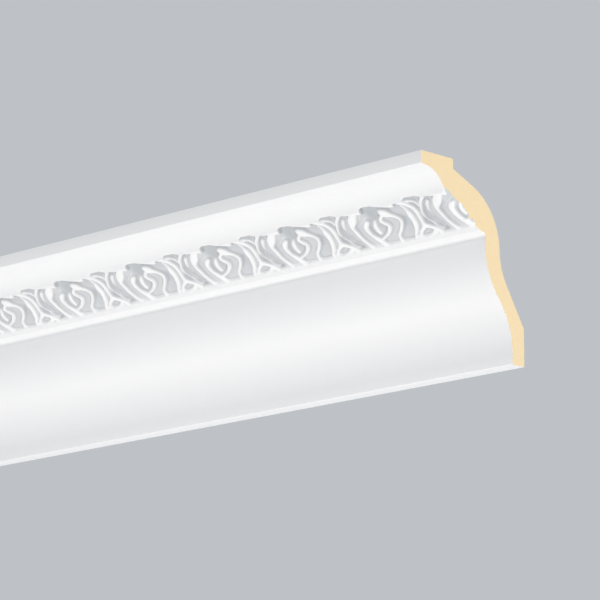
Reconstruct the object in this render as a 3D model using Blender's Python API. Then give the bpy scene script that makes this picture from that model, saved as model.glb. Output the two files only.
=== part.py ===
"""A length of cornice moulding with a band of carved leaves and darts, sawn square at both ends.

It sits as it is fixed: +Y points into the wall, +Z up to the ceiling, and X runs along the moulding.
The origin is the middle of the face that is glued to the wall. Sizes are in metres.
"""

import math

import bmesh
import bpy
import numpy as np
from mathutils import Vector
from mathutils.geometry import delaunay_2d_cdt

# The piece is a whole number of repeats long, so that the next length carries its pattern on.
REPEAT_LENGTH = 0.0806
REPEAT_COUNT = 7
LENGTH = REPEAT_LENGTH * REPEAT_COUNT
CUT_AT = 0.7225  # share of a repeat at which the saw cuts fall

# Overall section, and the two faces that are glued to the wall and the ceiling.
WALL_HEIGHT = 0.136
CEILING_DEPTH = 0.105
WALL_FACE_HEIGHT = 0.0272
CEILING_FACE_WIDTH = 0.0327

# The room side from the ceiling down: fillet, cavetto, carved band, shelf, nose, ogee and foot.
FILLET_HEIGHT = 0.0090
CAVETTO_SETBACK = 0.0030
CAVETTO_SOFFIT_DROP = 0.0005
CAVETTO_RADIUS = 0.0215
CAVETTO_SWEEP = math.radians(75)
LIP_RUN = 0.0032
LIP_DROP = 0.0022
BAND_WIDTH = 0.0344
BAND_SLOPE = math.radians(29.4)
SHELF_RUN = 0.0090
SHELF_DROP = 0.0029
NOSE_EASING = 0.0016
NOSE_HEIGHT = 0.0034
NOSE_OVERHANG = 0.00065
UPRIGHT_HEIGHT = 0.0042
FOOT_HEIGHT = 0.0080
FOOT_THICKNESS = 0.0123
FOOT_EASING = 0.0008

# The hidden side, which is hollow between the two glued faces.
FLANGE_THICKNESS = 0.0071
BACK_TOP_SLOPE = math.radians(22.9)
BACK_FOOT_SLOPE = math.radians(58.0)
BODY_THICKNESS = 0.0151
BACK_WAIST_DROP = 0.0570  # how far below the ceiling the back stands upright

# Facets of the curves.
CAVETTO_FACETS = 10
NOSE_FACETS = 3
OGEE_FACETS = 10
BACK_FACETS = 8

# The carving is drawn in a cell of this many units, which is stretched to one repeat of the band. A
# height across the cell is counted down from the band's upper lip, so it is negative in the cavetto.
CELL_ALONG = 80.0
CELL_ACROSS = 34.4
CARVING_TOP = -9.5
FOOT_OF_HOLLOWS = 31.2
WALL_STEEPNESS = 2.8  # depth gained by a unit of way down the side of a rib
FIRST_CUT = CUT_AT * CELL_ALONG
LAST_CUT = FIRST_CUT + CELL_ALONG * REPEAT_COUNT

# Spacing of the facets of the carving, in the same units.
RIB_SPACING = 3.2
FIELD_SPACING = 4.2
POINT_GAP = 1.4
SAME_PLACE = 0.001

# Each rib of the carving as points of (along, across, width of the crest, depth of the crest).
RIBS = {
    "broad leaf edge": [
        (53.0, -3.0, 5.0, 0.0), (48.4, -0.6, 5.6, 0.0), (44.7, 3.2, 6.0, 0.0), (42.2, 6.8, 4.4, 0.0),
        (40.5, 10.8, 2.4, 0.0), (40.3, 17.5, 2.2, 0.0), (40.8, 24.5, 2.3, 0.0), (42.6, 32.0, 3.0, 0.0),
    ],
    "cup edge": [
        (55.8, 7.6, 2.0, 0.6), (53.4, 9.2, 3.6, 0.2), (50.9, 12.6, 3.1, 0.0), (50.6, 18.0, 2.8, 0.0),
        (52.4, 25.0, 3.2, 0.0), (54.6, 32.0, 3.4, 0.0),
    ],
    "eye edge": [
        (71.2, 5.2, 1.8, 0.2), (68.6, 7.2, 2.0, 0.0), (67.8, 9.2, 2.2, -0.2), (69.8, 11.6, 2.4, -0.5),
        (72.0, 13.6, 2.4, -0.7), (70.3, 16.4, 2.1, -0.7), (66.0, 20.0, 1.8, -0.7), (61.6, 22.6, 1.7, -0.4),
        (56.6, 25.0, 1.6, 0.2),
    ],
    "petal edge": [
        (72.6, 0.6, 3.4, 0.8), (74.8, 3.0, 6.6, 0.4), (79.4, 5.6, 3.4, 0.0), (83.2, 8.6, 2.4, 0.0),
        (84.7, 11.8, 2.4, 0.0), (82.4, 16.2, 2.1, 0.0), (77.2, 21.6, 1.9, 0.0), (72.4, 25.6, 1.8, 0.0),
        (70.0, 32.0, 2.6, 0.0),
    ],
    "inner leaf": [
        (59.4, 9.6, 1.2, 4.4), (57.2, 13.4, 2.2, 4.0), (56.0, 17.4, 3.0, 3.2), (56.9, 21.6, 2.2, 2.8),
    ],
    "dart midrib": [
        (37.4, 0.0, 2.6, 0.8), (35.4, 3.6, 2.8, 0.9), (33.2, 8.0, 1.8, 1.4), (30.6, 13.4, 1.2, 2.4),
    ],
    "dart edge": [
        (37.2, -4.2, 2.4, 0.0), (31.1, 1.2, 2.0, 0.2), (28.0, 6.0, 1.6, 0.4), (24.9, 11.6, 1.2, 0.8),
        (23.8, 17.0, 1.0, 1.5), (25.6, 23.2, 1.0, 2.0), (30.2, 31.0, 1.0, 1.4),
    ],
    "leaf edge": [
        (12.4, -4.4, 2.6, 0.0), (18.3, -1.2, 2.6, 0.0), (21.5, 2.7, 2.6, 0.0), (22.3, 6.4, 2.6, 0.0),
        (21.3, 12.4, 2.2, 0.0), (19.6, 18.0, 2.0, 0.0), (17.8, 22.2, 2.2, 0.0), (13.2, 25.6, 2.6, 0.0),
        (6.8, 32.0, 2.6, 0.0),
    ],
    "leaf fork": [
        (19.6, 22.0, 2.2, 0.0), (22.2, 23.7, 2.6, 0.0), (26.0, 27.0, 3.4, 0.1), (28.8, 32.0, 3.4, 0.2),
    ],
    "broad fold": [
        (11.6, 1.6, 1.2, 1.9), (14.6, 4.6, 3.0, 0.6), (15.1, 10.0, 4.2, 0.0), (13.2, 16.4, 4.0, 0.0),
        (9.6, 22.8, 3.8, 0.0), (4.8, 28.6, 2.8, 0.0), (2.4, 32.0, 2.4, 0.0),
    ],
    "turned tip": [
        (19.0, -3.0, 1.4, 1.6), (24.0, -1.6, 2.0, 1.3), (25.9, 1.4, 1.8, 1.6), (24.8, 5.0, 1.2, 2.4),
    ],
}

# Where the hollows are cut up into the cavetto, as points of (along, across) from left to right.
SCALLOPED_EDGE = [
    (8.0, -1.0), (8.3, -3.6), (12.6, -3.8), (17.6, -1.2), (17.8, -4.8), (20.2, -5.6), (29.0, -5.4),
    (35.8, -3.9), (40.6, -3.6), (47.2, -2.6), (49.6, -0.4), (51.2, -1.8), (54.4, -1.7), (56.0, -0.6),
    (56.6, -4.8), (61.4, -5.8), (67.2, -5.4), (77.4, -3.5), (84.8, -1.4),
]

# How deep the ground of the hollows lies, and the shallow cove between their foot and the shelf, both
# as (across, depth).
GROUND = [(-9.0, 5.0), (6.0, 4.4), (14.0, 4.0), (22.0, 3.2), (28.0, 2.5), (FOOT_OF_HOLLOWS, 0.7)]
COVE = [(29.6, 0.0), (FOOT_OF_HOLLOWS, 0.7), (33.0, 0.7), (CELL_ACROSS, 0.0)]

WHITE_PRIMER = (0.87, 0.87, 0.86, 1.0)


def arc(centre, radius, start, end, facets):
    """Points on an arc; angles in radians from the direction of the wall, growing towards the ceiling."""
    angles = [start + (end - start) * i / facets for i in range(facets + 1)]
    return [centre + radius * Vector((math.cos(a), math.sin(a))) for a in angles]


def rounded(corner, back_along, out_along, leg, facets):
    """An arc that rounds a corner, tangent to both of its sides at a leg's length from it."""
    start, end = back_along.normalized(), out_along.normalized()
    half = start.angle(end) / 2
    radius = leg * math.tan(half)
    centre = corner + (start + end).normalized() * leg / math.cos(half)
    first, last = corner + start * leg - centre, corner + end * leg - centre
    return [centre + radius * first.slerp(last, i / facets).normalized() for i in range(facets + 1)]


# Section points are (way from the front edge towards the wall, height, with the ceiling at 0).

CAVETTO_CENTRE = Vector((CAVETTO_SETBACK, -FILLET_HEIGHT - CAVETTO_SOFFIT_DROP - CAVETTO_RADIUS))
QUARTER = math.pi / 2
CAVETTO = arc(CAVETTO_CENTRE, CAVETTO_RADIUS, QUARTER, QUARTER - CAVETTO_SWEEP, CAVETTO_FACETS)
LIP = CAVETTO[-1] + Vector((LIP_RUN, -LIP_DROP))
ALONG_BAND = Vector((math.cos(BAND_SLOPE), -math.sin(BAND_SLOPE)))
INTO_BAND = Vector((math.sin(BAND_SLOPE), math.cos(BAND_SLOPE)))
BAND_FOOT = LIP + BAND_WIDTH * ALONG_BAND
ACROSS_UNIT = BAND_WIDTH / CELL_ACROSS
ALONG_UNIT = REPEAT_LENGTH / CELL_ALONG


def below_the_band():
    """Section points of the room side from the shelf to the underside of the foot."""
    nose = BAND_FOOT + Vector((SHELF_RUN, -SHELF_DROP))
    down = Vector((0, -1))
    points = rounded(nose, BAND_FOOT - nose, down, NOSE_EASING, NOSE_FACETS)
    upright = nose + Vector((-NOSE_OVERHANG, -NOSE_HEIGHT))
    top = upright + down * UPRIGHT_HEIGHT
    foot = Vector((CEILING_DEPTH - FOOT_THICKNESS, FOOT_HEIGHT - WALL_HEIGHT))
    middle = (top + foot) / 2
    run, height = foot - top
    radius = (run ** 2 + height ** 2) / (4 * run)
    turn = 2 * math.atan2(run, -height)
    upper = arc(top + Vector((radius, 0)), radius, math.pi, math.pi + turn, OGEE_FACETS)
    lower = arc(foot - Vector((radius, 0)), radius, turn, 0, OGEE_FACETS)
    points += [upright, *upper[:-1], middle, *lower[1:]]
    arris = Vector((foot.x, -WALL_HEIGHT))
    return points + rounded(arris, -down, Vector((1, 0)), FOOT_EASING, NOSE_FACETS)


def hidden_side():
    """Section points of the back, from the wall's face up to the ceiling's face."""
    back = BAND_FOOT.x + SHELF_RUN - NOSE_OVERHANG + BODY_THICKNESS
    face_top = Vector((CEILING_DEPTH, WALL_FACE_HEIGHT - WALL_HEIGHT))
    flange = Vector((CEILING_FACE_WIDTH, -FLANGE_THICKNESS))
    low = Vector((back, face_top.y + (CEILING_DEPTH - back) * math.tan(BACK_FOOT_SLOPE)))
    high = Vector((back, flange.y - (back - CEILING_FACE_WIDTH) * math.tan(BACK_TOP_SLOPE)))
    waist = Vector((back, -BACK_WAIST_DROP))
    lower = rounded(low, face_top - low, waist - low, (waist - low).length, BACK_FACETS)
    upper = rounded(high, waist - high, flange - high, (waist - high).length, BACK_FACETS)
    return [
        Vector((CEILING_DEPTH, -WALL_HEIGHT)), face_top, *lower, *upper[1:], flange,
        Vector((CEILING_FACE_WIDTH, 0)),
    ]


def on_cell(point):
    """A section point as (across, depth) in the units of the cell."""
    offset = point - LIP
    return offset.dot(ALONG_BAND) / ACROSS_UNIT, offset.dot(INTO_BAND) / ACROSS_UNIT


def uncarved_depths():
    """The cavetto's end, the lip, band and cove as (across, depth), before anything is carved."""
    above = [on_cell(point) for point in CAVETTO]
    start = next(i for i, (across, _) in enumerate(above) if across > CARVING_TOP)
    return start, [*above[start:], (0.0, 0.0), *COVE]


CARVING_START, UNCARVED = uncarved_depths()


def smooth_course(points, spacing):
    """Points on a smooth curve through the given ones, about a spacing apart."""
    stops = np.array(points)
    ends = [2 * stops[0] - stops[1], *stops, 2 * stops[-1] - stops[-2]]
    path = [stops[0]]
    for before, start, end, after in zip(ends, ends[1:], ends[2:], ends[3:]):
        pieces = max(1, round(math.dist(start[:2], end[:2]) / spacing))
        for i in range(1, pieces + 1):
            u = i / pieces
            bend = (2 * before - 5 * start + 4 * end - after) * u ** 2
            twist = (3 * start - before - 3 * end + after) * u ** 3
            path.append(start + ((end - before) * u + bend + twist) / 2)
    return np.array(path)


def distances(points, path):
    """How far each point is from each straight piece of a path, and how far along the piece that is."""
    start, way = path[:-1, :2], np.diff(path[:, :2], axis=0)
    offset = points[:, None] - start
    share = np.clip((offset * way).sum(2) / (way ** 2).sum(1), 0, 1)
    return np.linalg.norm(offset - share[:, :, None] * way, axis=2), share


def with_neighbours(path):
    """A course in its own cell, and in the cells before and after it."""
    step = np.zeros(path.shape[1])
    step[0] = CELL_ALONG
    return [path - step, path, path + step]


COURSES = [smooth_course(points, RIB_SPACING) for points in RIBS.values()]
NEAR_COURSES = [near for path in COURSES for near in with_neighbours(path)]
EDGE = np.array(SCALLOPED_EDGE + [(SCALLOPED_EDGE[0][0] + CELL_ALONG, SCALLOPED_EDGE[0][1])])
NEAR_EDGE = np.concatenate([near[:-1] for near in with_neighbours(EDGE)])


def rib_depth(points):
    """Depth of the nearest rib's crest or side, and how far off the crests each point is."""
    depth = np.full(len(points), np.inf)
    clear = np.full(len(points), np.inf)
    for path in NEAR_COURSES:
        distance, share = distances(points, path)
        width = path[:-1, 2] * (1 - share) + path[1:, 2] * share
        crest = path[:-1, 3] * (1 - share) + path[1:, 3] * share
        off = distance - width / 2
        depth = np.minimum(depth, (crest + WALL_STEEPNESS * np.maximum(off, 0)).min(axis=1))
        clear = np.minimum(clear, off.min(axis=1))
    return depth, clear


def carved_depth(points):
    """Depth of the finished surface below the band at each (along, across)."""
    here = np.stack([points[:, 0] % CELL_ALONG, points[:, 1]], axis=1)
    bare = np.interp(here[:, 1], *zip(*UNCARVED))
    inside = here[:, 1] > np.interp(here[:, 0], *NEAR_EDGE.T)
    wall = np.where(inside, distances(here, NEAR_EDGE)[0].min(axis=1), 0) * WALL_STEEPNESS
    ground = np.minimum(np.interp(here[:, 1], *zip(*GROUND)), bare + wall)
    ribs = np.maximum(rib_depth(here)[0], np.where(here[:, 1] < 0, bare, -np.inf))
    return np.where(here[:, 1] < FOOT_OF_HOLLOWS, np.minimum(np.maximum(ground, bare), ribs), bare)


def crest_lines(path):
    """The two edges of a rib's crest."""
    way = np.gradient(path[:, :2], axis=0)
    normal = np.stack([-way[:, 1], way[:, 0]], axis=1) / np.linalg.norm(way, axis=1)[:, None]
    return [path[:, :2] + side * normal * path[:, 2:3] / 2 for side in (-1, 1)]


def foot_points(path):
    """Points at the foot of both sides of a rib, where it meets the ground."""
    ground = np.interp(path[:, 1], *zip(*GROUND))
    reach = path[:, 2] / 2 + np.maximum(ground - path[:, 3], 0) / WALL_STEEPNESS
    return np.concatenate(crest_lines(np.column_stack([path[:, :2], 2 * reach])))


def loose_points():
    """Points of the ground in one cell: at the feet of the ribs and walls, and spread between them."""
    wall_width = GROUND[0][1] / WALL_STEEPNESS
    columns = np.arange(0, CELL_ALONG, FIELD_SPACING)
    rows = np.arange(EDGE[:, 1].min(), FOOT_OF_HOLLOWS, FIELD_SPACING)
    wanted = np.concatenate([
        *(foot_points(path) for path in COURSES),
        smooth_course(EDGE, FIELD_SPACING) + np.array([0, wall_width]),
        [(along, across) for across in rows for along in columns],
    ])
    wanted[:, 0] %= CELL_ALONG
    off_ribs = rib_depth(wanted)[1] > POINT_GAP / 2
    below_edge = wanted[:, 1] > np.interp(wanted[:, 0], *NEAR_EDGE.T) + POINT_GAP / 2
    above_foot = wanted[:, 1] < FOOT_OF_HOLLOWS - POINT_GAP / 2
    kept = np.empty((0, 2))
    for point in wanted[off_ribs & below_edge & above_foot]:
        gap = np.abs(kept - point)
        gap[:, 0] = np.minimum(gap[:, 0], CELL_ALONG - gap[:, 0])
        if not (np.hypot(*gap.T) < POINT_GAP).any():
            kept = np.vstack([kept, point])
    return kept


def between_cuts(line):
    """The straight pieces of a line that lie between the saw cuts, shortened to them."""
    for start, end in zip(line, line[1:]):
        if start[0] > end[0]:
            start, end = end, start
        if end[0] <= FIRST_CUT or start[0] >= LAST_CUT:
            continue
        run = end[0] - start[0]
        first = start + (end - start) * (FIRST_CUT - start[0]) / run if start[0] < FIRST_CUT else start
        last = start + (end - start) * (LAST_CUT - start[0]) / run if end[0] > LAST_CUT else end
        yield first, last


def carved_surface():
    """Points (along, across) and triangles of the carved band between the two saw cuts."""
    lines = [line for path in COURSES for line in crest_lines(path)] + [EDGE]
    levels = [across for across, _ in UNCARVED]
    pieces = [((FIRST_CUT, across), (LAST_CUT, across)) for across in levels]
    loose = loose_points()
    points = []
    for cell in range(-1, REPEAT_COUNT + 2):
        step = np.array([cell * CELL_ALONG, 0])
        for line in lines:
            pieces.extend(between_cuts(line + step))
        inside = (loose + step)[:, 0].clip(FIRST_CUT + POINT_GAP / 2, LAST_CUT - POINT_GAP / 2)
        points.extend((loose + step)[inside == (loose + step)[:, 0]])
    rows = np.arange(EDGE[:, 1].min(), FOOT_OF_HOLLOWS, FIELD_SPACING / 2)
    points.extend((cut, across) for cut in (FIRST_CUT, LAST_CUT) for across in rows)
    columns = np.arange(FIRST_CUT + FIELD_SPACING, LAST_CUT, 2 * FIELD_SPACING)
    points.extend((along, across) for across in (UNCARVED[0][0], CELL_ACROSS) for along in columns)
    ends = [Vector(end) for piece in pieces for end in piece]
    edges = [(i, i + 1) for i in range(0, len(ends), 2)]
    flat, _, triangles, *_ = delaunay_2d_cdt(ends + [Vector(p) for p in points], edges, [], 0, SAME_PLACE)
    return np.array([tuple(point) for point in flat]), triangles


def in_place(along, section_point):
    """A point of the section, so far along the cell, where it lies in the finished piece."""
    x = (along - FIRST_CUT) * ALONG_UNIT - LENGTH / 2
    return x, section_point.x - CEILING_DEPTH, section_point.y + WALL_HEIGHT - WALL_FACE_HEIGHT / 2


def moulding_mesh():
    """The whole solid: carved band, plain faces that run from cut to cut, and the two cut ends."""
    mesh = bmesh.new()
    flat, triangles = carved_surface()
    band = []
    for (along, across), depth in zip(flat, carved_depth(flat)):
        section_point = LIP + (ALONG_BAND * across + INTO_BAND * depth) * ACROSS_UNIT
        band.append(mesh.verts.new(in_place(along, section_point)))
    for triangle in triangles:
        mesh.faces.new([band[i] for i in triangle])

    def border(column, value):
        """The band's points where along or across has this value, in order."""
        found = np.flatnonzero(np.abs(flat[:, column] - value) < SAME_PLACE)
        return [band[i] for i in found[np.argsort(flat[found, 1 - column])]]

    fillet = [Vector((0, 0)), Vector((0, -FILLET_HEIGHT))]
    plain = [*below_the_band(), *hidden_side(), *fillet, *CAVETTO[:CARVING_START]]
    cuts = (FIRST_CUT, LAST_CUT)
    rows = [[mesh.verts.new(in_place(cut, point)) for cut in cuts] for point in plain]
    rows = [border(1, CELL_ACROSS), *rows, border(1, UNCARVED[0][0])]
    for row, after in zip(rows, rows[1:]):
        mesh.faces.new([*row, *reversed(after)])
    for side, cut in enumerate(cuts):
        mesh.faces.new([*border(0, cut), *(row[side] for row in rows[1:-1])])
    bmesh.ops.recalc_face_normals(mesh, faces=mesh.faces)
    return mesh


def primed_white():
    """White primer over smooth foam."""
    material = bpy.data.materials.new("primed_white")
    material.use_nodes = True
    shader = material.node_tree.nodes["Principled BSDF"]
    shader.inputs["Base Color"].default_value = WHITE_PRIMER
    shader.inputs["Roughness"].default_value = 0.55
    shader.inputs["Metallic"].default_value = 0.0
    return material


def main():
    for thing in list(bpy.data.objects):
        bpy.data.objects.remove(thing)
    shape = bpy.data.meshes.new("cornice_length")
    solid = moulding_mesh()
    solid.to_mesh(shape)
    solid.free()
    shape.materials.append(primed_white())
    piece = bpy.data.objects.new("cornice_length", shape)
    bpy.context.scene.collection.objects.link(piece)


main()
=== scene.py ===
# %% [markdown]
# # A length of carved cornice moulding
#
# A cornice is a moulding that is glued into the inside corner at the top of a room. This one is moulded
# in dense foam, primed white and sawn to length, so that its cut ends show the bare cream foam. A band
# of curling leaves and darts runs along it between a hollow curve above and a long S-shaped curve below.
#
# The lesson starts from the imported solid, which fixes the size and the place of everything. Then it
# models the same moulding again, finely enough for the carving to be seen up close.

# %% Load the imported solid
import math

import bpy
import numpy as np
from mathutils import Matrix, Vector


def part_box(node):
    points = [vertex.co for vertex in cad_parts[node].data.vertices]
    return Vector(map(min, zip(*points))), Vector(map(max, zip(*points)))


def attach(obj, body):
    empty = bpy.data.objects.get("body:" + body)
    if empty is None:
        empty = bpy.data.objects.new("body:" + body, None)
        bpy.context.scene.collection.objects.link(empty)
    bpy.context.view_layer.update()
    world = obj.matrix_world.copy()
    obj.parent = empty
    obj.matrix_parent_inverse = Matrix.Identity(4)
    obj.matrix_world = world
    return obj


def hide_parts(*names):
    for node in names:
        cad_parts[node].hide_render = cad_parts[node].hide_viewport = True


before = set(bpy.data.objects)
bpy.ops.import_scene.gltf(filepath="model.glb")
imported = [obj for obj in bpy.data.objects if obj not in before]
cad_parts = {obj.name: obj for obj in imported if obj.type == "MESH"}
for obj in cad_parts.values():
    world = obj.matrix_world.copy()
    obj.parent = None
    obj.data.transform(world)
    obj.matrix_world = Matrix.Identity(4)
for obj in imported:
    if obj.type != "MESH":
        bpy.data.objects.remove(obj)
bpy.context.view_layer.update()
NODE = "cornice_length"
low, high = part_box(NODE)
LENGTH, CEILING_DEPTH, WALL_HEIGHT = high - low
print(f"The solid is {LENGTH:.3f} m long, {CEILING_DEPTH:.3f} m deep and {WALL_HEIGHT:.3f} m high")

# %% [markdown]
# ## Seeing it as the photograph does
#
# The photograph looks up at the moulding from below and from the right, through a long lens. Long
# lenses flatten perspective: the far end is only a little smaller than the near one. The camera could
# be placed by eye, but the moulding's own straight edges say where it stood. Its long edges meet at
# one vanishing point, the uprights of the cut end at another, and the two give the lens and the turn.

# %% Place the camera
MM = 0.001
LENS_MM = 202.5
SENSOR_MM = 36
SIGHT_END = 50  # metres
CAMERA_PLACE = (1.7781, -1.7525, -0.4955)
CAMERA_TILT = math.radians(90 + 12.98)
CAMERA_TURN = math.radians(44.37)

camera_data = bpy.data.cameras.new("camera")
camera_data.lens = LENS_MM
camera_data.sensor_width = SENSOR_MM
camera_data.clip_end = SIGHT_END
camera = bpy.data.objects.new("camera", camera_data)
camera.location = CAMERA_PLACE
camera.rotation_euler = (CAMERA_TILT, 0, CAMERA_TURN)
bpy.context.scene.collection.objects.link(camera)
bpy.context.scene.camera = camera
line_of_sight = camera.rotation_euler.to_matrix() @ Vector((0, 0, -1))
print("The camera looks along", tuple(round(part, 2) for part in line_of_sight))

# %% [markdown]
# ## The section
#
# A moulding is one outline, its section, carried along a line. Drawing that outline well is most of
# the work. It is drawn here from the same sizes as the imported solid, with more steps in each curve,
# as points of (way from the front edge towards the back, height with the top at 0).
#
# A curve could be typed in as many points. Two small helpers are shorter and easier to change: one
# gives an arc, the other rounds a corner between two straight sides.

# %% Helpers for arcs and rounded corners
QUARTER = math.pi / 2
UP = Vector((0, 1))
DOWN = Vector((0, -1))


def arc(centre, radius, start, end, facets):
    """Points on an arc, with angles that start at straight back and grow towards straight up."""
    angles = [start + (end - start) * i / facets for i in range(facets + 1)]
    return [centre + radius * Vector((math.cos(a), math.sin(a))) for a in angles]


def rounded(corner, back_along, out_along, leg, facets):
    """An arc that rounds a corner, tangent to both of its sides at a leg's length from it."""
    start, end = back_along.normalized(), out_along.normalized()
    half = start.angle(end) / 2
    centre = corner + (start + end).normalized() * leg / math.cos(half)
    first, last = corner + start * leg - centre, corner + end * leg - centre
    radius = leg * math.tan(half)
    return [centre + radius * first.slerp(last, i / facets).normalized() for i in range(facets + 1)]


sample = rounded(Vector((0, 0)), UP, Vector((1, 0)), 1.0, facets=2)
print("A rounded corner:", [tuple(round(c, 2) for c in point) for point in sample])

# %% [markdown]
# The side that is seen comes first: the fillet at the top, the cavetto, the lip of the carved band and
# the band itself, which is straight before it is carved.

# %% The cavetto and the band
FILLET_HEIGHT = 9.0 * MM
CAVETTO_SETBACK = 3.0 * MM
CAVETTO_SOFFIT_DROP = 0.5 * MM
CAVETTO_RADIUS = 21.5 * MM
CAVETTO_SWEEP = math.radians(75)
CAVETTO_FACETS = 30
LIP_RUN = 3.2 * MM
LIP_DROP = 2.2 * MM
BAND_WIDTH = 34.4 * MM
BAND_SLOPE = math.radians(29.4)
EASED = 0.35 * MM  # moulded arrises are never quite sharp

cavetto_top = Vector((CAVETTO_SETBACK, -FILLET_HEIGHT - CAVETTO_SOFFIT_DROP))
cavetto_centre = cavetto_top + DOWN * CAVETTO_RADIUS
cavetto = arc(cavetto_centre, CAVETTO_RADIUS, QUARTER, QUARTER - CAVETTO_SWEEP, CAVETTO_FACETS)
lip = cavetto[-1] + Vector((LIP_RUN, -LIP_DROP))
along_band = Vector((math.cos(BAND_SLOPE), -math.sin(BAND_SLOPE)))
into_band = Vector((math.sin(BAND_SLOPE), math.cos(BAND_SLOPE)))
band_foot = lip + BAND_WIDTH * along_band
fillet_foot = DOWN * FILLET_HEIGHT
front_edge = rounded(fillet_foot, UP, cavetto_top - fillet_foot, EASED, facets=3)
print(f"The band starts {lip.x / MM:.1f} mm back and {-lip.y / MM:.1f} mm down")

# %% [markdown]
# Below the band come a narrow shelf with a rounded nose, and the ogee: two arcs of one radius, the
# first bulging and the second hollow, which meet halfway. A Bezier curve would give such a shape too,
# but two arcs have only one size to set, and the radius follows from how far down and how far back the
# curve has to go.
#
# The shelf's first third lies in the shade of the carving. It gets a point of its own, so that the
# shade can be painted into the finish there and no further.

# %% The shelf, the ogee and the foot
SHELF_RUN = 9.0 * MM
SHELF_DROP = 2.9 * MM
STRIP_SHARE = 0.36  # share of the shelf that lies in the soft shade beside the carving
STRIP_FADE = 0.03  # share of the shelf over which that shade ends
NOSE_EASING = 1.6 * MM
NOSE_HEIGHT = 3.4 * MM
NOSE_FACE_SHARE = 0.55  # share of the nose's height that is plumb, above the part that runs in
NOSE_OVERHANG = 0.65 * MM
UPRIGHT_HEIGHT = 4.2 * MM
FOOT_HEIGHT = 8.0 * MM
FOOT_THICKNESS = 12.3 * MM
FOOT_EASING = 0.8 * MM
OGEE_FACETS = 22

shelf = Vector((SHELF_RUN, -SHELF_DROP))
nose = band_foot + shelf
nose_foot = nose + DOWN * (NOSE_HEIGHT * NOSE_FACE_SHARE)
upright = nose + Vector((-NOSE_OVERHANG, -NOSE_HEIGHT))
ogee_top = upright + DOWN * UPRIGHT_HEIGHT
ogee_foot = Vector((CEILING_DEPTH - FOOT_THICKNESS, FOOT_HEIGHT - WALL_HEIGHT))
run, height = ogee_foot - ogee_top
ogee_radius = (run ** 2 + height ** 2) / (4 * run)
ogee_turn = 2 * math.atan2(run, -height)
bulge = arc(ogee_top + Vector((ogee_radius, 0)), ogee_radius, math.pi, math.pi + ogee_turn, OGEE_FACETS)
hollow = arc(ogee_foot - Vector((ogee_radius, 0)), ogee_radius, ogee_turn, 0, OGEE_FACETS)
strip_end = band_foot + shelf * STRIP_SHARE
room_side = [
    strip_end, strip_end + shelf * STRIP_FADE,
    *rounded(nose, band_foot - nose, DOWN, NOSE_EASING, facets=6),
    *rounded(nose_foot, UP, upright - nose_foot, EASED, facets=2),
    *rounded(upright, nose_foot - upright, DOWN, EASED, facets=2),
    *bulge, *hollow[1:],
    *rounded(Vector((ogee_foot.x, -WALL_HEIGHT)), UP, Vector((1, 0)), FOOT_EASING, facets=4),
]
print(f"The ogee's radius is {ogee_radius / MM:.1f} mm")
print(f"Each half of it turns {math.degrees(ogee_turn):.1f} degrees")

# %% [markdown]
# The back is hidden once the moulding is up, so it stays plain: an upright flat for the glue, a hollow
# that saves foam, and a level flat on top for the glue too. The hollow could be an offset of the side
# that is seen, but the cut end shows it simpler than that: three straight runs whose two corners are
# rounded so widely that the curves meet.

# %% The hidden side
WALL_FACE_HEIGHT = 27.2 * MM
CEILING_FACE_WIDTH = 32.7 * MM
FLANGE_THICKNESS = 7.1 * MM
BACK_TOP_SLOPE = math.radians(22.9)
BACK_FOOT_SLOPE = math.radians(58.0)
BODY_THICKNESS = 15.1 * MM
BACK_WAIST_DROP = 57.0 * MM

back = upright.x + BODY_THICKNESS
face_top = Vector((CEILING_DEPTH, WALL_FACE_HEIGHT - WALL_HEIGHT))
flange = Vector((CEILING_FACE_WIDTH, -FLANGE_THICKNESS))
back_low = Vector((back, face_top.y + (CEILING_DEPTH - back) * math.tan(BACK_FOOT_SLOPE)))
back_high = Vector((back, flange.y - (back - CEILING_FACE_WIDTH) * math.tan(BACK_TOP_SLOPE)))
waist = Vector((back, -BACK_WAIST_DROP))
hidden_side = [
    Vector((CEILING_DEPTH, -WALL_HEIGHT)), face_top,
    *rounded(back_low, face_top - back_low, waist - back_low, (waist - back_low).length, facets=12),
    *rounded(back_high, waist - back_high, flange - back_high, (waist - back_high).length, facets=20)[1:],
    flange, Vector((CEILING_FACE_WIDTH, 0)), Vector((0, 0)),
]
print(f"The foot is {FOOT_THICKNESS / MM:.1f} mm thick, the body {BODY_THICKNESS / MM:.1f} mm")

# %% [markdown]
# ## Drawing the leaves and darts
#
# The carving repeats every 80.6 mm. It is a classical pair: a leaf that curls over on itself, and a
# dart that stands between two leaves. Seen closely, it is made of ribs, the bright edges of the
# leaves, that stand in hollows cut some 2 to 6 mm into the band.
#
# Such relief could be modelled rib by rib as separate bars. But ribs run into each other softly, which
# a carver gets by cutting one surface. So the carving is one surface here too: a fine grid that is
# pushed in, more or less deeply, at each point. What has to be drawn is only the course of each rib,
# in the cell of one repeat: 80 units along and 34.4 across. Each point of a rib says how far along and
# how far across it lies, how wide the crest is there, and how deep it lies below the band's own line.
#
# Points above the band's lip, where the hollows bite into the cavetto, lie at less than 0 across. A
# width of less than 0 makes a rib too thin to reach its own height, for a faint crease or a crest that
# dies away.

# %% The ribs of one repeat
CELL_ALONG = 80.0
CELL_ACROSS = 34.4
UNIT = BAND_WIDTH / CELL_ACROSS
REPEATS = 7
CUT_AT = 0.7225  # share of a repeat at which the saw cuts fall

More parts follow.
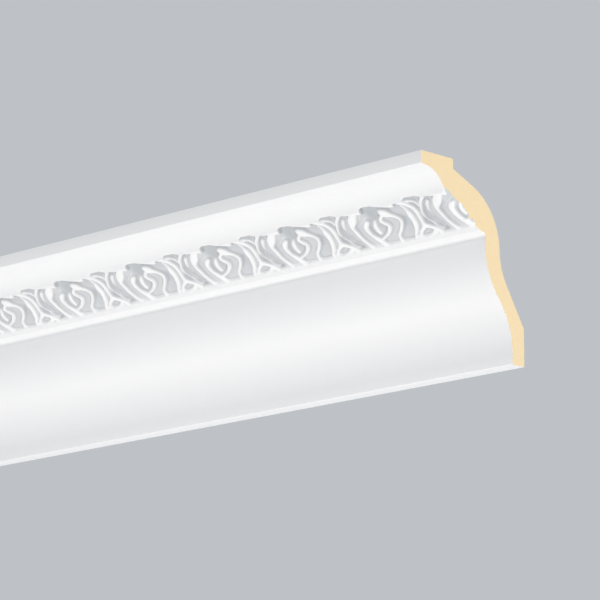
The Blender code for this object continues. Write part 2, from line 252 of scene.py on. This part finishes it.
RIBS = {  # name: points, each (along, across, width of the crest, depth of the crest)
    "broad leaf edge": [
        (49.8, -1.6, 3.8, 0.0), (47.6, 0.0, 5.2, 0.0), (44.7, 3.2, 6.0, 0.0), (41.8, 6.6, 4.2, 0.0),
        (40.1, 9.9, 2.4, 0.0), (39.9, 15.0, 2.4, 0.0), (39.8, 20.0, 2.2, 0.0), (40.6, 25.4, 2.4, 0.0),
        (42.3, 31.0, 3.0, 0.0),
    ],
    "cup edge": [
        (55.5, 7.8, 2.0, 0.6), (53.4, 9.2, 3.6, 0.2), (51.0, 12.2, 3.1, 0.0), (50.2, 16.0, 2.8, 0.0),
        (50.5, 20.4, 2.6, 0.0), (52.4, 25.4, 3.9, 0.0), (54.7, 31.0, 4.4, 0.0),
    ],
    "cup crease": [
        (56.4, 3.9, -0.6, 2.4), (53.4, 5.6, -0.4, 1.9), (49.8, 7.7, -0.4, 1.7), (46.6, 10.2, -0.6, 2.2),
    ],
    "eye edge": [
        (71.2, 5.2, 1.8, 0.2), (68.6, 7.2, 2.0, 0.0), (67.8, 9.0, 2.2, -0.2), (69.5, 11.8, 2.2, -0.5),
        (71.1, 13.9, 2.0, -0.7), (70.0, 16.9, 2.1, -0.7), (66.2, 20.8, 1.8, -0.7), (61.8, 23.6, 1.6, -0.4),
        (55.8, 26.0, 1.5, 0.1),
    ],
    "petal edge": [
        (72.3, 1.2, 3.0, 0.8), (74.8, 3.2, 6.6, 0.4), (79.2, 5.6, 3.2, 0.0), (82.6, 8.4, 2.0, 0.0),
        (83.9, 11.6, 2.0, 0.0), (81.9, 16.0, 1.9, 0.0), (77.0, 21.4, 1.8, 0.0), (72.3, 25.6, 1.8, 0.0),
        (70.2, 31.0, 2.6, 0.0),
    ],
    "inner leaf": [
        (59.0, 10.6, -0.3, 4.9), (57.3, 12.9, 0.9, 4.2), (55.8, 16.0, 1.8, 3.6), (55.6, 18.8, 2.3, 2.9),
        (56.3, 21.6, 1.8, 2.8),
    ],
    "dart midrib": [
        (36.8, 1.7, 1.8, 0.9), (35.1, 3.6, 2.0, 0.9), (33.2, 6.4, 1.5, 1.2), (31.2, 9.6, 0.6, 1.7),
        (29.4, 14.2, -0.8, 2.5), (28.8, 18.0, -1.2, 3.0),
    ],
    "dart edge": [
        (37.0, -4.2, 2.0, 0.0), (34.4, -1.9, 1.8, 0.1), (31.0, 1.2, 1.7, 0.2), (28.4, 5.0, 1.4, 0.4),
        (26.0, 8.8, 1.1, 0.5), (24.6, 12.0, 1.0, 0.8), (23.6, 16.0, 0.4, 1.4), (24.2, 20.6, 0.2, 2.0),
        (27.0, 26.0, 0.2, 2.4), (29.8, 30.2, 0.4, 1.8),
    ],
    "leaf edge": [
        (12.4, -4.4, 2.6, 0.0), (18.3, -1.2, 2.6, 0.0), (21.5, 2.7, 2.6, 0.0), (22.3, 6.4, 2.6, 0.0),
        (21.2, 12.4, 2.2, 0.0), (19.6, 18.0, 2.0, 0.0), (18.4, 22.3, 3.2, 0.0), (15.2, 25.0, 2.3, 0.0),
        (12.0, 27.0, 1.8, 0.0), (8.2, 31.0, 2.0, 0.0),
    ],
    "leaf fork": [
        (20.0, 23.0, 3.8, 0.0), (22.3, 24.6, 2.8, 0.0), (24.4, 26.6, 3.0, 0.1), (26.3, 29.0, 3.2, 0.2),
        (27.4, 31.4, 3.2, 0.2),
    ],
    "leaf fork web": [(23.4, 29.4, 2.6, 0.3), (19.4, 31.6, 1.8, 0.5), (15.0, 33.2, 1.0, 0.6)],
    "broad fold": [
        (11.6, 1.6, 0.6, 2.2), (13.8, 3.4, 1.4, 1.4), (15.0, 6.0, 2.6, 0.5), (14.8, 10.0, 4.1, 0.0),
        (13.9, 15.2, 3.4, 0.0), (11.8, 20.2, 3.2, 0.0), (8.7, 25.2, 2.6, 0.0), (5.6, 28.6, 1.9, 0.0),
        (3.9, 31.4, 1.8, 0.0),
    ],
    "turned tip": [
        (18.2, -3.1, 0.6, 1.6), (22.8, -1.7, 1.1, 1.4), (25.2, -0.4, 1.3, 1.4), (26.0, 2.0, 1.1, 1.7),
        (25.6, 5.0, 0.4, 2.4),
    ],
}
print(len(RIBS), "ribs in a repeat,", REPEATS, "repeats")

# %% [markdown]
# Between the ribs lies the ground of the hollows. Its upper border is scalloped, and it is deepest
# under that border and in the leaf's cup. Near its foot it comes up to a shallow cove above the shelf.
# A few depths, each at its place in the cell, say this, and the ground runs smoothly between them.

# %% The ground of the hollows
SCALLOPED_EDGE = [
    (8.0, -1.0), (8.3, -3.6), (12.6, -3.8), (17.6, -1.2), (17.8, -4.8), (20.2, -5.6), (29.0, -5.4),
    (35.8, -3.9), (40.6, -3.6), (47.2, -2.6), (49.6, -0.4), (51.2, -1.8), (54.4, -1.7), (56.6, -0.6),
    (57.2, -5.2), (61.4, -5.8), (67.2, -5.4), (77.4, -3.5), (84.8, -1.4),
]
GROUND_SPOTS = [  # (along, across, depth)
    (58.5, -3, 4.8), (62, -3, 6.0), (68, -3.5, 6.2), (74, -3.5, 5.6), (79, -2, 4.6), (84, 0, 3.2),
    (61, 1, 6.2), (66, 1, 6.2), (57.5, 4.5, 2.6), (57.5, 8, 3.0), (60.8, 5, 5.6), (62, 6, 6.0), (65, 6, 6.2),
    (62, 11, 5.8), (62, 15, 5.2), (60.5, 19, 3.8), (58, 22.5, 2.9), (55, 3, 2.2), (56.5, 1, 3.0),
    (51, 4, 2.2), (52.5, -1, 1.6), (54, 12, 4.2), (53.5, 18, 3.8), (55, 23, 3.0), (47, 8, 3.0), (45, 12, 3.2),
    (46, 18, 2.8), (47, 24, 2.6), (48, 29, 2.2), (70.5, 8.5, 2.6), (72.5, 11, 2.8), (75, 9, 2.8),
    (78, 12, 2.8), (75, 17, 2.6), (69, 22, 2.6), (63, 27, 2.6), (66, 29, 2.4), (76, 28.5, 2.8),
    (1.5, 8, 2.7), (5.5, 9, 3.4), (6.5, 14, 4.2), (4.5, 19, 4.0), (0, 24, 3.2), (9, -3, 4.0),
    (5.5, 0.5, 4.2), (9, 0.5, 3.9), (13, 0, 3.2), (6, 4.5, 2.6), (11, 7, 2.4), (18, 3, 3.0),
    (18.5, 9, 2.4), (17, 15, 2.2), (14.5, 20.5, 2.2), (8, 28, 2.4), (15, 28, 3.2), (19, 26.5, 3.4),
    (12, 29.5, 2.6), (21, -5, 4.4),
    (29, -5, 4.6), (24, 3, 3.8), (23.5, 9, 3.4), (22.5, 16, 3.2), (22.5, 20, 3.8), (26, 24.5, 2.8),
    (31, 3, 3.6), (28, 8, 4.0), (26.5, 14, 4.6), (26.4, 18, 5.0), (27.0, 21.5, 5.6), (28.4, 25.5, 5.6),
    (30.0, 28.5, 4.4), (31.5, 22, 3.0), (37, -3, 4.2), (42, -3, 4.4), (38, 3, 3.4), (36, 9, 3.0),
    (34, 15, 2.9), (36, 22, 2.6), (38, 28, 2.2),
]
HOLLOWS_END = 31.8
COVE = [(29.6, 0.0), (30.6, 0.4), (HOLLOWS_END, 0.85), (33.0, 0.7), (CELL_ACROSS, 0.0)]  # (across, depth)
COVE_SHADE = 1.0  # the cove looks as shaded as a hollow of this depth
STEEPNESS = 2.4  # depth gained for each unit of way down the side of a rib
ROUNDNESS = 0.55  # how softly crests turn over and hollows meet
BLEND = 1.2  # how softly the foot of a rib runs out into the ground
POCKET_STEEPNESS = 4.0  # steepness of the sides under the scalloped edge and at the hollows' foot
POCKET_ROUNDNESS = 0.4  # how softly the ground meets the scalloped edge
FOOT_ROUNDNESS = 0.6  # how softly the ground comes up at its foot
SPOT_REACH = 2.3  # how far around itself a spot sets the ground's depth
print(len(GROUND_SPOTS), "spots of ground and", len(SCALLOPED_EDGE), "points on the scalloped edge")

# %% [markdown]
# The next helpers turn the drawing into depths. Every formula works on whole arrays of points at once,
# which is what makes a grid of ten thousand points quick.

# %% From the drawing to depths
def smooth_course(points, spacing=1.0):
    """Points on a smooth curve through the given ones, about a spacing apart."""
    stops = np.array(points, float)
    ends = [2 * stops[0] - stops[1], *stops, 2 * stops[-1] - stops[-2]]
    path = [stops[0]]
    for before, start, end, after in zip(ends, ends[1:], ends[2:], ends[3:]):
        pieces = max(1, round(math.dist(start[:2], end[:2]) / spacing))
        for i in range(1, pieces + 1):
            u = i / pieces
            bend = (2 * before - 5 * start + 4 * end - after) * u ** 2
            twist = (3 * start - before - 3 * end + after) * u ** 3
            path.append(start + ((end - before) * u + bend + twist) / 2)
    return np.array(path)


def distances(points, path):
    """How far each point is from each straight piece of a path, and how far along the piece that is."""
    start, way = path[:-1, :2], np.diff(path[:, :2], axis=0)
    offset = points[:, None] - start
    share = np.clip((offset * way).sum(2) / (way ** 2).sum(1), 0, 1)
    return np.linalg.norm(offset - share[:, :, None] * way, axis=2), share


def with_neighbours(path):
    """A course in its own cell, and in the cells before and after it."""
    step = np.zeros(path.shape[1])
    step[0] = CELL_ALONG
    return [path - step, path, path + step]


def slope_from(distance, steepness=STEEPNESS, softness=ROUNDNESS):
    """A side that is level up to distance 0 and then falls steeply, with a soft turn between."""
    return steepness * (distance + np.sqrt(distance ** 2 + softness ** 2)) / 2


def softly_lower(a, b, softness=1.0):
    """The lower of two numbers, with a soft join where they are nearly equal."""
    share = np.clip(0.5 + 0.5 * (b - a) / softness, 0, 1)
    return b * (1 - share) + a * share - softness * share * (1 - share)


print("Level, then falling:", slope_from(np.array([-2.0, 0.0, 1.0])).round(2))

# %% [markdown]
# Depth is measured square to the band. The cavetto already lies deeper than the band's line where it
# turns up, and the carving starts from there, so that uncarved places keep the section's own shape.
#
# The finish needs a mark on each point, of how hollow the place is, for the shade that it paints there. It is
# the depth that was cut, but a low crest is as white as a high one, so the mark is never more than the way
# down from the next crest.

# %% The depth of the carved surface
def on_cell(point):
    """A section point as (across, depth) in the units of the cell."""
    offset = point - lip
    return offset.dot(along_band) / UNIT, offset.dot(into_band) / UNIT


uncarved = [on_cell(point) for point in cavetto] + [(0.0, 0.0), *COVE]
edge = np.array(SCALLOPED_EDGE + [(SCALLOPED_EDGE[0][0] + CELL_ALONG, SCALLOPED_EDGE[0][1])])
near_edge = np.concatenate([near[:-1] for near in with_neighbours(edge)])
spots = np.concatenate(with_neighbours(np.array(GROUND_SPOTS, float)))


def ground_depth(points):
    """Depth of the ground between the ribs, blended from the spots around each point."""
    away = ((points[:, None] - spots[:, :2]) ** 2).sum(2) / SPOT_REACH ** 2
    weight = np.exp(-(away - away.min(axis=1)[:, None]) / 2)
    ground = (weight * spots[:, 2]).sum(1) / weight.sum(1)
    rise = slope_from(HOLLOWS_END - points[:, 1], POCKET_STEEPNESS, FOOT_ROUNDNESS)
    return softly_lower(ground, rise)


def carved_depth(points):
    """Depth of the finished surface, depth before it was carved, and the mark for the painted shade."""
    here = np.stack([points[:, 0] % CELL_ALONG, points[:, 1]], axis=1)
    bare = np.interp(here[:, 1], *zip(*uncarved))
    inside = here[:, 1] > np.interp(here[:, 0], *near_edge.T)
    from_edge = distances(here, near_edge)[0].min(axis=1) * np.where(inside, 1, -1)
    upper_side = bare + slope_from(from_edge, POCKET_STEEPNESS, POCKET_ROUNDNESS)
    depth = softly_lower(ground_depth(here), upper_side)
    highest = np.where(here[:, 1] < 0, bare, -np.inf)
    off = np.full(len(here), np.inf)
    for points_of_rib in RIBS.values():
        for path in with_neighbours(smooth_course(points_of_rib)):
            distance, share = distances(here, path)
            width = path[:-1, 2] * (1 - share) + path[1:, 2] * share
            crest = path[:-1, 3] * (1 - share) + path[1:, 3] * share
            side = (crest + slope_from(distance - width / 2)).min(axis=1)
            depth = softly_lower(depth, np.maximum(side, highest), BLEND)
            off = np.minimum(off, (distance - width / 2).min(axis=1))
    depth = np.maximum(depth, highest)
    shade = np.where(here[:, 1] > HOLLOWS_END, COVE_SHADE, depth - bare)
    return depth, bare, np.clip(np.minimum(shade, slope_from(off)), 0, None)


sample = np.array([(66.0, 2.0), (40.2, 14.4), (46.0, 14.0)])
print("Depths in a pocket, on a rib and in a flute:", carved_depth(sample)[0].round(2))

# %% [markdown]
# ## Carving one repeat
#
# One repeat of the band is a grid primitive, fine enough for a rib to have four or five points across
# its crest. Each of its points takes its place from the section and the depth. Pushing points by a
# formula is the one thing here that a hand tool could not do as well: it keeps every repeat exact, so
# that the ends of two repeats meet point for point.
#
# How deeply each point was carved is kept on it too, in an attribute named "carved", as the mask for the
# shade painted into the finish.

# %% Make the carved panel
GRID_ALONG = 146
GRID_ACROSS = 78
PANEL_TOP = -9.0  # units across, well above the highest hollow
FIRST_CUT = CUT_AT * CELL_ALONG


def in_place(along, section_point):
    """Where a point of the section lies in the piece, at so many units along the pattern."""
    x = (along - FIRST_CUT) * LENGTH / (CELL_ALONG * REPEATS) - LENGTH / 2
    return x, section_point.x + low.y, section_point.y + high.z


bpy.ops.object.select_all(action="DESELECT")
bpy.ops.mesh.primitive_grid_add(x_subdivisions=GRID_ALONG, y_subdivisions=GRID_ACROSS, size=1)
panel = bpy.context.object
panel.name = "carved_cornice"
corners = np.empty(len(panel.data.vertices) * 3)
panel.data.vertices.foreach_get("co", corners)
cell_points = corners.reshape(-1, 3)[:, :2] + 0.5  # from 0 to 1 both ways
cell_points[:, 0] = FIRST_CUT + cell_points[:, 0] * CELL_ALONG
cell_points[:, 1] = PANEL_TOP + cell_points[:, 1] * (CELL_ACROSS - PANEL_TOP)
depths, bare_depths, hollows = carved_depth(cell_points)
border = np.isclose(cell_points[:, 1], PANEL_TOP) | np.isclose(cell_points[:, 1], CELL_ACROSS)
depths[border] = bare_depths[border]
places = [
    in_place(along, lip + (along_band * across + into_band * float(depth)) * UNIT)
    for (along, across), depth in zip(cell_points.tolist(), depths)
]
panel.data.vertices.foreach_set("co", np.array(places).ravel())
DEEPEST = 6.0  # units, the depth that is marked with 1
carved = panel.data.attributes.new("carved", "FLOAT", "POINT")
carved.data.foreach_set("value", hollows / DEEPEST)
panel.data.update()
print(f"The panel has {len(panel.data.polygons)} faces and is up to {depths.max():.1f} units deep")

# %% [markdown]
# The Array modifier sets the other repeats beside the first and welds each to the next. Its merge
# distance is in metres, so it has to be far below the grid's own spacing of half a millimetre.

# %% Repeat the panel along the length
WELD = 0.02 * MM


def select_only(*objects):
    """Leaves just these objects selected, the first of them active."""
    bpy.ops.object.select_all(action="DESELECT")
    for item in objects:
        item.select_set(True)
    bpy.context.view_layer.objects.active = objects[0]


array = panel.modifiers.new("repeats", "ARRAY")
array.count = REPEATS
array.use_relative_offset = False
array.use_constant_offset = True
array.constant_offset_displace = (LENGTH / REPEATS, 0, 0)
array.use_merge_vertices = True
array.merge_threshold = WELD
select_only(panel)
bpy.ops.object.modifier_apply(modifier=array.name)
print("The whole band has", len(panel.data.polygons), "faces")

# %% [markdown]
# ## Sweeping the plain part
#
# The rest of the moulding is the same all along, so it needs no points between its ends. It starts as
# a plane, of which only one long edge is kept. That edge is extruded from each point of the section to
# the next, all the way round from the band's foot to its top.

# %% Extrude the section
LEAST_STEP = 0.2  # units across, from the panel's top to the cavetto's next point
PLANE_SIDE = 1.0  # metres
panel_top_depth = float(np.interp(PANEL_TOP, *zip(*uncarved)))
panel_top = lip + (along_band * PANEL_TOP + into_band * panel_top_depth) * UNIT
above_panel = [point for point in cavetto if on_cell(point)[0] < PANEL_TOP - LEAST_STEP]
route = [band_foot, *room_side, *hidden_side, *front_edge, *above_panel, panel_top]

bpy.ops.mesh.primitive_plane_add(size=PLANE_SIDE, location=(0, 0, 0))
shell = bpy.context.object
shell.name = "plain_part"
bpy.ops.object.mode_set(mode="EDIT")
bpy.ops.mesh.select_all(action="DESELECT")
bpy.ops.object.mode_set(mode="OBJECT")
for vertex in shell.data.vertices:
    vertex.select = vertex.co.y > 0
bpy.ops.object.mode_set(mode="EDIT")
bpy.ops.mesh.delete(type="VERT")
bpy.ops.mesh.select_all(action="SELECT")
bpy.ops.transform.resize(value=(LENGTH / PLANE_SIDE, 1, 1))
start = Vector(in_place(FIRST_CUT, route[0]))
bpy.ops.transform.translate(value=(0, start.y + PLANE_SIDE / 2, start.z))
for point, after in zip(route, route[1:]):
    step = after - point
    bpy.ops.mesh.extrude_edges_move(TRANSFORM_OT_translate={"value": (0, step.x, step.y)})
bpy.ops.object.mode_set(mode="OBJECT")
print("The plain part has", len(shell.data.polygons), "long faces")

# %% [markdown]
# The two borders that meet the band get as many points as the band has. Subdivide makes at most a
# hundred cuts at a time, so it runs three times: into repeats, into 73 parts, and those in half.

# %% Match the borders, join and weld
def select_edges(obj, wanted):
    """Selects the edges of a mesh whose two ends both pass a test, and nothing else."""
    bpy.ops.object.mode_set(mode="EDIT")
    bpy.ops.mesh.select_mode(type="EDGE")
    bpy.ops.mesh.select_all(action="DESELECT")
    bpy.ops.object.mode_set(mode="OBJECT")
    for e in obj.data.edges:
        e.select = all(wanted(obj.data.vertices[i].co) for i in e.vertices)
    bpy.ops.object.mode_set(mode="EDIT")


ends = [Vector(in_place(FIRST_CUT, route[0])), Vector(in_place(FIRST_CUT, route[-1]))]


def on_border(place):
    """Tells whether a place lies on one of the two borders that meet the band."""
    return any((Vector((end.x, place.y, place.z)) - end).length < WELD for end in ends)


for cuts in (REPEATS - 1, GRID_ALONG // 2 - 1, 1):
    select_only(shell)
    select_edges(shell, on_border)
    bpy.ops.mesh.subdivide(number_cuts=cuts)
    bpy.ops.object.mode_set(mode="OBJECT")
select_only(panel, shell)
bpy.ops.object.join()
cornice = panel
bpy.ops.object.mode_set(mode="EDIT")
bpy.ops.mesh.select_all(action="SELECT")
bpy.ops.mesh.remove_doubles(threshold=WELD)
bpy.ops.object.mode_set(mode="OBJECT")
print("Welded together, the moulding has", len(cornice.data.polygons), "faces")

# %% [markdown]
# ## The sawn ends
#
# The two open ends are filled with one face each, as a saw would leave them. Then all faces are turned
# to look outwards, and those that meet at less than the smoothing angle are shaded as one curve, which
# leaves the arrises sharp.

# %% Fill the ends
SMOOTHING_ANGLE = math.radians(50)

for end in (low.x, high.x):
    select_only(cornice)
    select_edges(cornice, lambda place: abs(place.x - end) < WELD)
    bpy.ops.mesh.edge_face_add()
    bpy.ops.object.mode_set(mode="OBJECT")
select_only(cornice)
bpy.ops.object.mode_set(mode="EDIT")
bpy.ops.mesh.select_all(action="SELECT")
bpy.ops.mesh.normals_make_consistent(inside=False)
bpy.ops.object.mode_set(mode="OBJECT")
bpy.ops.object.shade_smooth_by_angle(angle=SMOOTHING_ANGLE)
faces_at_edge = np.bincount([loop.edge_index for loop in cornice.data.loops])
open_edges = (faces_at_edge != 2).sum()
triangles = sum(len(face.vertices) - 2 for face in cornice.data.polygons)
print(f"{triangles} triangles, {open_edges} open edges")

# %% [markdown]
# ## The shade beside the carving
#
# The cove and the start of the shelf are hardly carved, yet the ribs beside them keep the light off, so that
# shade is painted into the finish there too.
# The cove got its mark with the panel. On the plain part, the points where the shelf starts and those
# where its shade ends get the same mark, and all others stay at 0. They are told by their place in the
# section, which is the same all along.

# %% Mark the start of the shelf
shaded_lines = [Vector(in_place(FIRST_CUT, point)).yz for point in (band_foot, strip_end)]
marked = 0
for vertex, mark in zip(cornice.data.vertices, cornice.data.attributes["carved"].data):
    if any((vertex.co.yz - line).length < WELD for line in shaded_lines):
        mark.value = COVE_SHADE / DEEPEST
        marked += 1
print(marked, "points of the shelf lie in the shade")

# %% [markdown]
# ## Finishes
#
# Node maths is easier to read as ordinary expressions. This small class wraps a socket, so that adding
# or multiplying wrapped sockets makes the Math nodes.

# %% A class for shader maths
class Socket:
    """One output socket of a material's nodes, usable in expressions."""

    def __init__(self, maker, output):
        self.maker = maker
        self.output = output

    def maths(self, operation, first, second):
        """A Math node on two values, each a number or a socket."""
        return self.maker.node("ShaderNodeMath", {"operation": operation}, {0: first, 1: second})

    def __add__(self, other):
        return self.maths("ADD", self, other)

    def __sub__(self, other):
        return self.maths("SUBTRACT", self, other)

    def __mul__(self, other):
        return self.maths("MULTIPLY", self, other)

    def __rsub__(self, other):
        return self.maths("SUBTRACT", other, self)

    __radd__ = __add__
    __rmul__ = __mul__


class Finish:
    """A new material, with one method that makes any node."""

    def __init__(self, name):
        self.material = bpy.data.materials.new(name)
        self.material.use_nodes = True
        self.tree = self.material.node_tree
        self.shader = self.tree.nodes["Principled BSDF"]
        self.place = self.node("ShaderNodeTexCoord", {}, {}, "Object")

    def node(self, kind, settings, inputs, output=0):
        made = self.tree.nodes.new(kind)
        for name, value in settings.items():
            setattr(made, name, value)
        for name, value in inputs.items():
            self.set(made.inputs[name], value)
        return Socket(self, made.outputs[output])

    def set(self, socket, value):
        if isinstance(value, Socket):
            self.tree.links.new(value.output, socket)
        else:
            socket.default_value = value

    def noise(self, scale, detail=2.0):
        return self.node("ShaderNodeTexNoise", {}, {"Vector": self.place, "Scale": scale, "Detail": detail})

    def mixed(self, share, first, second):
        """Two colours mixed. A Mix node takes colours at its inputs 6 and 7 and gives one at output 2."""
        settings = {"data_type": "RGBA"}
        return self.node("ShaderNodeMix", settings, {"Factor": share, 6: first, 7: second}, 2)


print("Finishes can be written as expressions")

# %% [markdown]
# White primer is nearly matt, and very slightly uneven where it was sprayed: a hint of mottling in the
# colour and a fine orange peel in the surface. Shade is painted into the hollows of the carving as a cool
# grey, darker where they are deeper. The mark that the carving left on each point is used as the mask for
# that painted shade. A fine noise is added to the mask, so that the painted shade doesn't end along a
# clean line.

# %% White primer, with shade painted into the hollows
WHITE = (0.88, 0.88, 0.875, 1)
MOTTLED_WHITE = (0.865, 0.868, 0.87, 1)
# Painted shade: the grey put into the hollows, and the darker grey of the deepest ones.
HOLLOW_SHADE_GREY = (0.634, 0.648, 0.658, 1)
DEEP_SHADE_GREY = (0.479, 0.501, 0.515, 1)

primer = Finish("primed_white")
shade_mark = primer.node("ShaderNodeAttribute", {"attribute_name": "carved"}, {}, "Fac")
uneven_shade_mark = shade_mark + (primer.noise(220.0) - 0.5) * 0.06
painted_shade_share = primer.node(
    "ShaderNodeMapRange", {"interpolation_type": "SMOOTHSTEP"},
    {"Value": uneven_shade_mark, "From Min": 0.09, "From Max": 0.32},
)
deep_shade_share = primer.node("ShaderNodeMapRange", {}, {"Value": shade_mark, "From Min": 0.3, "From Max": 0.9})
mottled = primer.mixed(primer.noise(26.0) * 0.5, WHITE, MOTTLED_WHITE)
painted_hollow_shade = primer.mixed(deep_shade_share, HOLLOW_SHADE_GREY, DEEP_SHADE_GREY)
orange_peel = primer.node(
    "ShaderNodeBump", {},
    {"Strength": 0.12, "Distance": 0.2 * MM, "Height": primer.noise(700.0, 3.0)},
)
primer.set(primer.shader.inputs["Base Color"], primer.mixed(painted_shade_share, mottled, painted_hollow_shade))
primer.set(primer.shader.inputs["Roughness"], 0.5 + (primer.noise(60.0) - 0.5) * 0.16)
primer.set(primer.shader.inputs["Normal"], orange_peel)
print("Primer ready")

# %% [markdown]
# Sawn foam shows its cells as fine pores, a little darker than the rest. A Voronoi pattern gives cells
# of that kind, and a coarser noise keeps them from looking alike. Both feed the bump and the colour.

# %% Cream foam
CREAM = (0.90, 0.715, 0.44, 1)
CREAM_PORE = (0.82, 0.62, 0.36, 1)

foam = Finish("cut_foam")
pores = foam.node("ShaderNodeTexVoronoi", {}, {"Vector": foam.place, "Scale": 1500.0}, "Distance")
speckle = foam.noise(130.0, 4.0) * 0.5 + pores * 0.2
open_cells = foam.node(
    "ShaderNodeBump", {},
    {"Strength": 0.35, "Distance": 0.3 * MM, "Height": pores + foam.noise(420.0, 3.0)},
)
foam.set(foam.shader.inputs["Base Color"], foam.mixed(speckle, CREAM, CREAM_PORE))
foam.set(foam.shader.inputs["Roughness"], 0.85)
foam.set(foam.shader.inputs["Normal"], open_cells)
print("Foam ready")

# %% [markdown]
# The foam goes on the faces that look along the moulding and lie at its ends. Everything else is
# primed.

# %% Put the finishes on
LOOKS_ALONG = 0.9  # least part of a face's normal that lies along the moulding

cornice.data.materials.clear()
cornice.data.materials.append(primer.material)
cornice.data.materials.append(foam.material)
for face in cornice.data.polygons:
    at_end = abs(abs(face.center.x) - LENGTH / 2) < WELD
    face.material_index = 1 if at_end and abs(face.normal.x) > LOOKS_ALONG else 0
print(sum(face.material_index for face in cornice.data.polygons), "faces of bare foam")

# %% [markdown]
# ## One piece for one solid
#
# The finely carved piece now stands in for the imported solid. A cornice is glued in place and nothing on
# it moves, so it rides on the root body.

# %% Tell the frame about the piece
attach(cornice, "root")
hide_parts(NODE)
print(cornice.name, "stands in for", NODE)

# %% [markdown]
# ## Light and surroundings
#
# Soft light comes from below and in front, so the faces that look down are the brightest, as in the
# photograph. Weaker lamps light the two cut ends and the back. A pale floor lies far below. A lamp
# shines along its own -Z, so each is turned until its Z points from the moulding to the lamp.

# %% Floor, lights and world
FLOOR_HEIGHT = -1.8
FLOOR_SIZE = 3.0
FLOOR_GREY = (0.72, 0.73, 0.74, 1)
SURROUNDING_GREY = (0.515, 0.539, 0.565, 1)

bpy.ops.object.select_all(action="DESELECT")
bpy.ops.mesh.primitive_plane_add(size=FLOOR_SIZE, location=(0, 0, FLOOR_HEIGHT))
floor = bpy.context.object
floor.name = "floor"
pale = Finish("pale_floor")
pale.set(pale.shader.inputs["Base Color"], FLOOR_GREY)
pale.set(pale.shader.inputs["Roughness"], 0.8)
floor.data.materials.append(pale.material)

LAMPS = {  # name: (place, energy, size, colour)
    "key": ((0.05, -0.99, -1.57), 26.5, 1.35, (1.0, 0.955, 0.925)),
    "right end": ((2.30, 0.55, 0.15), 25.0, 1.0, (1.0, 1.0, 1.0)),
    "left end": ((-2.30, 0.55, 0.15), 18.0, 1.0, (1.0, 1.0, 1.0)),
    "behind": ((0.20, 1.05, 1.95), 15.0, 1.5, (1.0, 0.98, 0.96)),
}
for name, (place, energy, size, colour) in LAMPS.items():
    lamp_data = bpy.data.lights.new(name, "AREA")
    lamp_data.energy = energy
    lamp_data.size = size
    lamp_data.color = colour
    lamp = bpy.data.objects.new(name, lamp_data)
    lamp.location = place
    lamp.rotation_euler = Vector(place).to_track_quat("Z", "Y").to_euler()
    bpy.context.scene.collection.objects.link(lamp)

world = bpy.data.worlds.new("surroundings")
world.use_nodes = True
background = world.node_tree.nodes["Background"]
background.inputs["Color"].default_value = SURROUNDING_GREY
background.inputs["Strength"].default_value = 1.0
bpy.context.scene.world = world
bpy.context.scene.view_settings.view_transform = "Standard"
print(len(LAMPS), "lamps")
